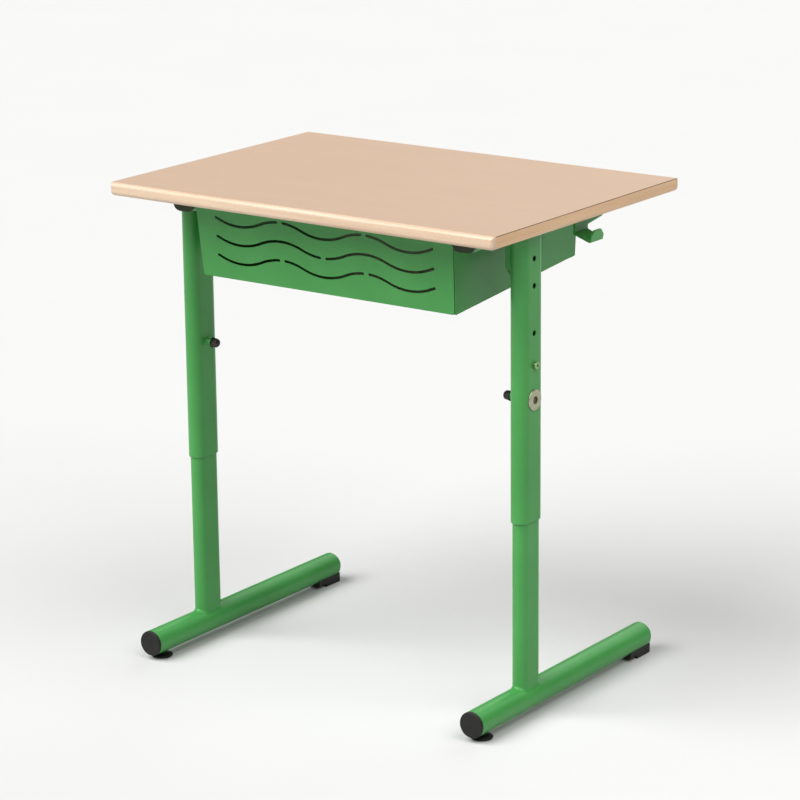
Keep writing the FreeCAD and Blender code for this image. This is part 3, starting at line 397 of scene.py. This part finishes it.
def skin(bm, sections, closed):
    """Joins outlines with the same number of points into a ring, or into a bar with closed ends."""
    rings = [[bm.verts.new(point) for point in section] for section in sections]
    followers = rings[1:] + rings[:1] if closed else rings[1:]
    for ring, follower in zip(rings, followers):
        join_rings(bm, ring, follower)
    if not closed:
        bm.faces.new(rings[0])
        bm.faces.new(rings[-1])


# Places

def box(node):
    """Low and high corner of a node."""
    low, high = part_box(node)
    return Vector(low), Vector(high)


def middle_of(node):
    """Middle of a node's box."""
    low, high = box(node)
    return (low + high) / 2


def reach(node):
    """Inner and outer distance of a node from the desk's middle plane."""
    low, high = box(node)
    return sorted((abs(low.x), abs(high.x)))


# Softened edges

MERGE_DISTANCE = 0.001 * MM
FLAT_ANGLE = math.radians(0.1)
SHARP_ANGLE = math.radians(28)
ROUND_PROFILE = 0.5
SOFT_SEGMENTS = 2
SMALL_HOLE = 10 * MM
RIM_RADIUS = 1 * MM
RIM_SEGMENTS = 4


def sharp_edges(bm):
    """Edges where two faces meet at a clear angle."""
    return [edge for edge in bm.edges if edge.calc_face_angle(0) > SHARP_ANGLE]


def round_off(bm, edges, radius, segments):
    """Rounds edges by a radius."""
    bmesh.ops.bevel(bm, geom=edges, offset=radius, segments=segments, profile=ROUND_PROFILE,
                    affect="EDGES")


def groups_of(edges):
    """Edges sorted into groups that hang together."""
    left = set(edges)
    groups = []
    for start in edges:
        if start not in left:
            continue
        left.remove(start)
        group = [start]
        for edge in group:
            near = {other for vertex in edge.verts for other in vertex.link_edges} & left
            left -= near
            group += sorted(near, key=lambda other: other.index)
        groups.append(group)
    return groups


def read_afresh(bm):
    """Writes a mesh out and reads it in again, so that a second bevel gives the same order on each run."""
    mesh = bpy.data.meshes.new("between_bevels")
    bm.to_mesh(mesh)
    bm.clear()
    bm.from_mesh(mesh)
    bpy.data.meshes.remove(mesh)


def roll_holes(bm, node):
    """Rolls in the rims of the small holes in a post's outer face, as a punch leaves them."""
    face = reach(node)[1]
    bm.edges.index_update()

    def on_face(edge):
        return all(abs(abs(vertex.co.x) - face) < MERGE_DISTANCE for vertex in edge.verts)

    rims = []
    for group in groups_of([edge for edge in sharp_edges(bm) if on_face(edge)]):
        heights = [vertex.co.z for edge in group for vertex in edge.verts]
        if RIM_RADIUS < max(heights) - min(heights) < SMALL_HOLE:
            rims += group
    round_off(bm, rims, RIM_RADIUS, RIM_SEGMENTS)
    read_afresh(bm)


def soften(node, radius):
    """Stands for a node with the same form whose sharp edges are rounded by a small radius."""
    bm = bmesh.new()
    bm.from_mesh(NODES[node].data)
    bmesh.ops.remove_doubles(bm, verts=bm.verts, dist=MERGE_DISTANCE)
    bmesh.ops.dissolve_limit(bm, angle_limit=FLAT_ANGLE, verts=bm.verts, edges=bm.edges)
    if node.startswith("post_sleeve"):
        roll_holes(bm, node)
    round_off(bm, sharp_edges(bm), radius, SOFT_SEGMENTS)
    bmesh.ops.remove_doubles(bm, verts=bm.verts, dist=MERGE_DISTANCE)
    stand_for(node, "softened", bm)


SOFT_PAIRS = {
    "post_sleeve": 0.4 * MM,
    "head_bracket": 0.4 * MM,
    "arm": 0.4 * MM,
    "rear_shoe": 1.2 * MM,
    "clamp_screw": 0.25 * MM,
    "index_screw": 0.2 * MM,
}
SOFT_SINGLES = {
    "tray": 0.3 * MM,
    "bag_hook": 0.6 * MM,
    "lipping_front": 0.3 * MM,
    "lipping_rear": 0.3 * MM,
    "lipping_left": 0.3 * MM,
    "lipping_right": 0.3 * MM,
}
for stem, radius in SOFT_PAIRS.items():
    for side in SIDES:
        soften(f"{stem}_{side}", radius)
for node, radius in SOFT_SINGLES.items():
    soften(node, radius)


# Welds

WELD_LEG = 4 * MM
BOSS_RADIUS = 6 * MM
BOSS_WELD_LEG = 2.2 * MM
WELD_ROOT = 0.8 * MM
WELD_STEP = 1 * MM
RIPPLE_PITCH = 4.5 * MM
RIPPLE_SHARE = 0.07
BEAD_POINTS = 6
BEAD_FULLNESS = 0.3
BEAD_END = 0.2
CUSP_ANGLE = math.radians(32)
CUSP_REACH = 1.5 * MM
ARM_WELD_REACH = 8 * MM


def bead_section(first, corner, second, root):
    """A bead's outline: a hollow curve from toe to toe, closed through the root."""
    pull = corner.lerp(first.lerp(second, 0.5), BEAD_FULLNESS)
    outline = [root]
    for step in range(BEAD_POINTS + 1):
        share = step / BEAD_POINTS
        outline.append(first.lerp(pull, share).lerp(pull.lerp(second, share), share))
    return outline


def bead_size(run, length, closed):
    """A bead's size along its run: small waves, and thinner towards the ends of an open bead."""
    waves = max(1, round(length / RIPPLE_PITCH))
    size = 1 + RIPPLE_SHARE * math.sin(2 * math.pi * waves * run / length)
    if closed:
        return size
    from_end = min(run, length - run) / WELD_LEG
    return size * math.sqrt(min(1, max(BEAD_END, from_end)))


def lay_bead(name, body, length, section, closed=False):
    """A painted bead over a length, each of its outlines given by the section function."""
    count = round(length / WELD_STEP)
    runs = [length * step / count for step in range(count if closed else count + 1)]
    bm = bmesh.new()
    skin(bm, [section(run, bead_size(run, length, closed)) for run in runs], closed)
    new_piece(name, bm, body, FINISHES["green_paint"])


def on_oval(run, straight, radius):
    """Place and outward direction at a distance along the outline of a flat oval."""
    half_lap = straight + math.pi * radius
    if run >= half_lap:
        place, outward = on_oval(run - half_lap, straight, radius)
        return -place, -outward
    if run < straight:
        return Vector((radius, run - straight / 2)), Vector((1, 0))
    angle = (run - straight) / radius
    outward = Vector((math.cos(angle), math.sin(angle)))
    return Vector((0, straight / 2)) + radius * outward, outward


def weld_foot(side):
    """Bead round the leg where it stands on the foot."""
    low, high = box(f"leg_tube_{side}")
    foot_low, foot_high = box(f"foot_tube_{side}")
    middle = middle_of(f"leg_tube_{side}")
    radius = (high.x - low.x) / 2
    straight = high.y - low.y - 2 * radius
    foot_radius = (foot_high.x - foot_low.x) / 2

    def on_foot(place):
        rise = math.sqrt(foot_radius ** 2 - place.x ** 2)
        return Vector((middle.x + place.x, middle.y + place.y, foot_low.z + foot_radius + rise))

    def section(run, size):
        place, outward = on_oval(run, straight, radius)
        leg = WELD_LEG * size
        corner = on_foot(place)
        root = on_foot(place - outward * WELD_ROOT) - Vector((0, 0, WELD_ROOT))
        return bead_section(corner + Vector((0, 0, leg)), corner, on_foot(place + outward * leg), root)

    lay_bead(f"foot_weld_{side}", f"leg_{side}", 2 * (straight + math.pi * radius), section, closed=True)


def weld_post(side):
    """Two upright beads between a post and its head bracket."""
    low, high = box(f"head_bracket_{side}")
    cap_low, cap_high = box(f"sleeve_cap_{side}")
    web, far = reach(f"sleeve_cap_{side}")
    radius = (far - web) / 2
    axis = web + radius
    front_axis = cap_low.y + radius
    rear_axis = cap_high.y - radius

    def at(x, y, z):
        return Vector((SIDES[side] * x, y, z))

    def front(run, size):
        z = low.z + run
        leg = WELD_LEG * size
        angle = leg / radius
        on_post = at(axis - radius * math.cos(angle), front_axis - radius * math.sin(angle), z)
        root = at(web + WELD_ROOT, low.y + WELD_ROOT, z)
        return bead_section(at(web - leg, low.y, z), at(web, low.y, z), on_post, root)

    def rear(run, size):
        z = low.z + run
        angle = CUSP_ANGLE * size
        edge = rear_axis + radius * math.sin(angle)
        on_post = at(axis - radius * math.cos(angle), edge, z)
        root = at(web - WELD_ROOT, rear_axis, z)
        return bead_section(at(web, edge + CUSP_REACH, z), at(web, edge, z), on_post, root)

    lay_bead(f"post_weld_front_{side}", "upper_frame", high.z - low.z, front)
    lay_bead(f"post_weld_rear_{side}", "upper_frame", high.z - low.z, rear)


def weld_arm(side):
    """Short upright beads between the flanges of a head bracket and the arm's rounded side."""
    low, high = box(f"head_bracket_{side}")
    arm_low, arm_high = box(f"arm_{side}")
    radius = (arm_high.z - arm_low.z) / 2
    axis = reach(f"arm_{side}")[1] - radius
    height = arm_low.z + radius
    for end, face, outward in (("front", low.y, -1), ("rear", high.y, 1)):

        def section(run, size):
            rise = run - ARM_WELD_REACH
            x = axis + math.sqrt(radius ** 2 - rise ** 2)
            leg = WELD_LEG * size

            def at(along_x, along_y):
                return Vector((SIDES[side] * (x + along_x), face + outward * along_y, height + rise))

            return bead_section(at(leg, 0), at(0, 0), at(0, leg), at(-WELD_ROOT, -WELD_ROOT))

        lay_bead(f"arm_weld_{end}_{side}", "upper_frame", 2 * ARM_WELD_REACH, section)


def weld_boss(side):
    """Bead round the boss under the clamp nut."""
    middle = middle_of(f"clamp_nut_{side}")
    flat = reach(f"sleeve_cap_{side}")[0]

    def section(run, size):
        angle = run / BOSS_RADIUS
        leg = BOSS_WELD_LEG * size

        def at(x, spread_out):
            distance = BOSS_RADIUS + spread_out
            return Vector((SIDES[side] * x, middle.y + distance * math.cos(angle),
                           middle.z + distance * math.sin(angle)))

        return bead_section(at(flat - leg, 0), at(flat, 0), at(flat, leg), at(flat + WELD_ROOT, -WELD_ROOT))

    lay_bead(f"boss_weld_{side}", "upper_frame", 2 * math.pi * BOSS_RADIUS, section, closed=True)


# Clamp nuts

NUT_SEGMENTS = 72
NUT_WASHER_THICKNESS = 1.5 * MM
NUT_HEIGHT = 7 * MM
NUT_TOP = NUT_WASHER_THICKNESS + NUT_HEIGHT
NUT_FLATS = 13 * MM
NUT_INNER_RADIUS = NUT_FLATS / 2
NUT_CHAMFER_ANGLE = math.radians(30)
NUT_CHAMFER_STEPS = 4
NUT_DOME_STEPS = 8
WASHER_ROUND = 0.3 * MM
BORE_RADIUS = 4.5 * MM


def washer_rings(radius):
    """Distance from the seat and radius of each ring of a nut's washer."""
    return [
        (WASHER_ROUND, BORE_RADIUS),
        (0, BORE_RADIUS),
        (0, radius - WASHER_ROUND),
        (WASHER_ROUND, radius),
        (NUT_WASHER_THICKNESS - WASHER_ROUND, radius),
        (NUT_WASHER_THICKNESS, radius - WASHER_ROUND),
    ]


def hexagon_rings():
    """Distance from the seat and largest radius of each ring of a nut's hexagon, chamfered at both ends."""
    corner = NUT_INNER_RADIUS / math.cos(SIXTH_TURN / 2)
    slope = math.tan(NUT_CHAMFER_ANGLE)
    steps = range(NUT_CHAMFER_STEPS + 1)
    widths = [(corner - NUT_INNER_RADIUS) * step / NUT_CHAMFER_STEPS for step in steps]
    lower = [(NUT_WASHER_THICKNESS + width * slope, NUT_INNER_RADIUS + width) for width in widths]
    upper = [(NUT_TOP - width * slope, NUT_INNER_RADIUS + width) for width in reversed(widths)]
    return lower + upper


def dome_rings(height):
    """Distance from the seat and radius of each ring of a nut's dome of that height."""
    angles = [math.pi / 2 * step / NUT_DOME_STEPS for step in range(1, NUT_DOME_STEPS)]
    return [(NUT_TOP + height * math.sin(angle), NUT_INNER_RADIUS * math.cos(angle)) for angle in angles]


def make_dome_nut(side):
    """A hexagon cap nut with chamfered corners and its washer, in place of the plain nut."""
    node = f"clamp_nut_{side}"
    low, high = box(node)
    middle = middle_of(node)
    tip, seat = reach(node)
    angles = [2 * math.pi * step / NUT_SEGMENTS for step in range(NUT_SEGMENTS)]

    def hexagon(angle):
        return NUT_INNER_RADIUS / math.cos((angle + SIXTH_TURN / 2) % SIXTH_TURN - SIXTH_TURN / 2)

    def section(distance, radius_at):
        x = SIDES[side] * (seat - distance)
        return [Vector((x, middle.y + radius_at(angle) * math.cos(angle),
                        middle.z + radius_at(angle) * math.sin(angle))) for angle in angles]

    def discs(rings):
        return [section(distance, lambda angle: radius) for distance, radius in rings]

    outline = discs(washer_rings((high.y - low.y) / 2))
    for distance, limit in hexagon_rings():
        outline.append(section(distance, lambda angle: min(hexagon(angle), limit)))
    outline += discs(dome_rings(seat - tip - NUT_TOP))
    bm = bmesh.new()
    skin(bm, outline, closed=False)
    stand_for(node, "domed", bm)


for side in SIDES:
    make_dome_nut(side)
    weld_foot(side)
    weld_post(side)
    weld_arm(side)
    weld_boss(side)


# Hexagon sockets

SOCKET_FLATS = 11 * MM
SOCKET_DEPTH = 3.4 * MM
SOCKET_GAP = 0.02 * MM
SHADE_GREASE_THICKNESS = 0.2 * MM


def shade_grease_socket(side):
    """Dark grease at the bottom of a clamp screw's hexagon socket, a thin sheet that also paints the shade
    of the recess.
    """
    node = f"clamp_screw_{side}"
    middle = middle_of(node)
    face = reach(node)[1]

    def hexagon(width, sunk):
        radius = width / 2 / math.cos(SIXTH_TURN / 2)
        x = SIDES[side] * (face - sunk)
        angles = [SIXTH_TURN * corner for corner in range(6)]
        return [Vector((x, middle.y + radius * math.cos(angle), middle.z + radius * math.sin(angle)))
                for angle in angles]

    width = SOCKET_FLATS - 2 * SOCKET_GAP
    bottom = SOCKET_DEPTH - SOCKET_GAP
    bm = bmesh.new()
    skin(bm, [hexagon(width, bottom), hexagon(width, bottom - SHADE_GREASE_THICKNESS)], closed=False)
    # Painted shade: a dark sheet at the socket's bottom, partly grease.
    new_piece(f"{node}_grease", bm, NODES[node]["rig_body"], SHADE_GREASE)


for side in SIDES:
    shade_grease_socket(side)


# Screw drives

SCREW_SEGMENTS = 40
SCREW_HEAD_HEIGHT = 3 * MM
SCREW_RIM = 1 * MM
SCREW_FACE = 3 * MM
SHANK_RADIUS = 2.5 * MM
DOME_STEPS = 6
CROSS_REACH = 2.3 * MM
CROSS_WIDTH = 1.1 * MM
CROSS_DEPTH = 1.7 * MM
CROSS_TAPER = 0.5


def cross_outline(size):
    """Twelve corners of a cross recess of that relative size, around the origin."""
    half = size * CROSS_WIDTH / 2
    far = size * CROSS_REACH
    corners = []
    for turn in range(4):
        spin = Matrix.Rotation(turn * math.pi / 2, 2)
        corners += [spin @ Vector((far, -half)), spin @ Vector((far, half)), spin @ Vector((half, half))]
    return corners


def circle(radius):
    """Points of a circle round the origin."""
    angles = [2 * math.pi * step / SCREW_SEGMENTS for step in range(SCREW_SEGMENTS)]
    return [radius * Vector((math.cos(angle), math.sin(angle))) for angle in angles]


def make_cross_screw(node):
    """A screw driven upwards, with a domed head and a cross recess, in place of the plain one."""
    low, high = box(node)
    middle = middle_of(node)
    head = (high.x - low.x) / 2
    bm = bmesh.new()

    def ring(outline, z):
        return [bm.verts.new((middle.x + point.x, middle.y + point.y, z)) for point in outline]

    dome = SCREW_HEAD_HEIGHT - SCREW_RIM
    rings = []
    for step in range(DOME_STEPS + 1):
        angle = math.pi / 2 * step / DOME_STEPS
        radius = SCREW_FACE + (head - SCREW_FACE) * math.sin(angle)
        rings.append(ring(circle(radius), low.z + dome * (1 - math.cos(angle))))
    seat = low.z + SCREW_HEAD_HEIGHT
    rings.append(ring(circle(head), seat))
    rings.append(ring(circle(SHANK_RADIUS), seat))
    rings.append(ring(circle(SHANK_RADIUS), high.z))
    for first, second in zip(rings, rings[1:]):
        join_rings(bm, first, second)
    bm.faces.new(rings[-1])
    mouth = ring(cross_outline(1), low.z)
    bottom = ring(cross_outline(CROSS_TAPER), low.z + CROSS_DEPTH)
    join_rings(bm, mouth, bottom)
    bm.faces.new(bottom)
    face = rings[0] + mouth
    for corners in tessellate_polygon([[vertex.co for vertex in rings[0]], [vertex.co for vertex in mouth]]):
        bm.faces.new([face[corner] for corner in corners])
    stand_for(node, "driven", bm)


for node in NODES:
    if node.startswith(("top_screw", "tray_screw", "hook_screw")):
        make_cross_screw(node)


# Stage

def make_floor():
    """A wide pale floor with a faint tone."""
    mesh = bpy.data.meshes.new("floor")
    half = FLOOR_SIDE / 2
    corners = [(-half, -half, 0), (half, -half, 0), (half, half, 0), (-half, half, 0)]
    mesh.from_pydata(corners, [], [(0, 1, 2, 3)])
    floor = bpy.data.objects.new("floor", mesh)
    bpy.context.scene.collection.objects.link(floor)
    material, tree, shader = new_material("pale_floor")
    tone = spread(tree, noise(tree, evenly(2), 2), 0.99, 1.0)
    plain = add(tree, "ShaderNodeHueSaturation", Color=(*FLOOR_COLOUR, 1), Value=tone)
    tree.links.new(plain.outputs["Color"], shader.inputs["Base Color"])
    shader.inputs["Roughness"].default_value = 0.9
    shader.inputs["Specular IOR Level"].default_value = 0.1
    mesh.materials.append(material)


def toward(azimuth, elevation):
    """Unit vector to a point seen at that azimuth, from the front over the right, and elevation."""
    turn = math.radians(azimuth)
    rise = math.radians(elevation)
    return Vector((math.sin(turn) * math.cos(rise), -math.cos(turn) * math.cos(rise), math.sin(rise)))


def make_sun(name, azimuth, elevation, breadth, strength):
    """A broad soft light from one direction."""
    sun = bpy.data.lights.new(name, "SUN")
    sun.energy = strength
    sun.angle = math.radians(breadth)
    lamp = bpy.data.objects.new(name, sun)
    lamp.rotation_mode = "QUATERNION"
    lamp.rotation_quaternion = toward(azimuth, elevation).to_track_quat("Z", "Y")
    bpy.context.scene.collection.objects.link(lamp)


def make_sky():
    """White surroundings, bright near the horizon and weak above it."""
    world = bpy.data.worlds.new("studio")
    world.use_nodes = True
    tree = world.node_tree
    background = tree.nodes["Background"]
    background.inputs["Color"].default_value = (1, 1, 1, 1)
    facing = add(tree, "ShaderNodeSeparateXYZ", Vector=add(tree, "ShaderNodeTexCoord").outputs["Generated"])
    strength = spread(tree, facing.outputs["Z"], HORIZON_STRENGTH, SKY_STRENGTH, 0, HORIZON_RISE)
    tree.links.new(strength, background.inputs["Strength"])
    bpy.context.scene.world = world


def make_camera():
    """The photograph's viewpoint, with a slight roll and no lens shift."""
    azimuth = math.radians(AZIMUTH)
    roll = math.radians(ROLL)
    forward = -toward(AZIMUTH, ELEVATION)
    level = Vector((math.cos(azimuth), math.sin(azimuth), 0))
    upright = level.cross(forward)
    right = level * math.cos(roll) + upright * math.sin(roll)
    up = upright * math.cos(roll) - level * math.sin(roll)
    lens = bpy.data.cameras.new("photo_view")
    lens.sensor_width = SENSOR_WIDTH
    lens.lens = FOCAL_PIXELS / IMAGE_SIDE * SENSOR_WIDTH
    camera = bpy.data.objects.new("photo_view", lens)
    turn = Matrix((right, up, -forward)).transposed()
    camera.matrix_world = Matrix.Translation(EYE) @ turn.to_4x4()
    bpy.context.scene.collection.objects.link(camera)
    bpy.context.scene.camera = camera


for name in ("Cube", "Light", "Camera"):
    stray = bpy.data.objects.get(name)
    if stray:
        bpy.data.objects.remove(stray)
make_floor()
make_sky()
make_sun("key_light", **KEY)
make_sun("fill_light", **FILL)
make_sun("back_light", **BACK)
make_camera()
bpy.context.scene.view_settings.view_transform = "Standard"
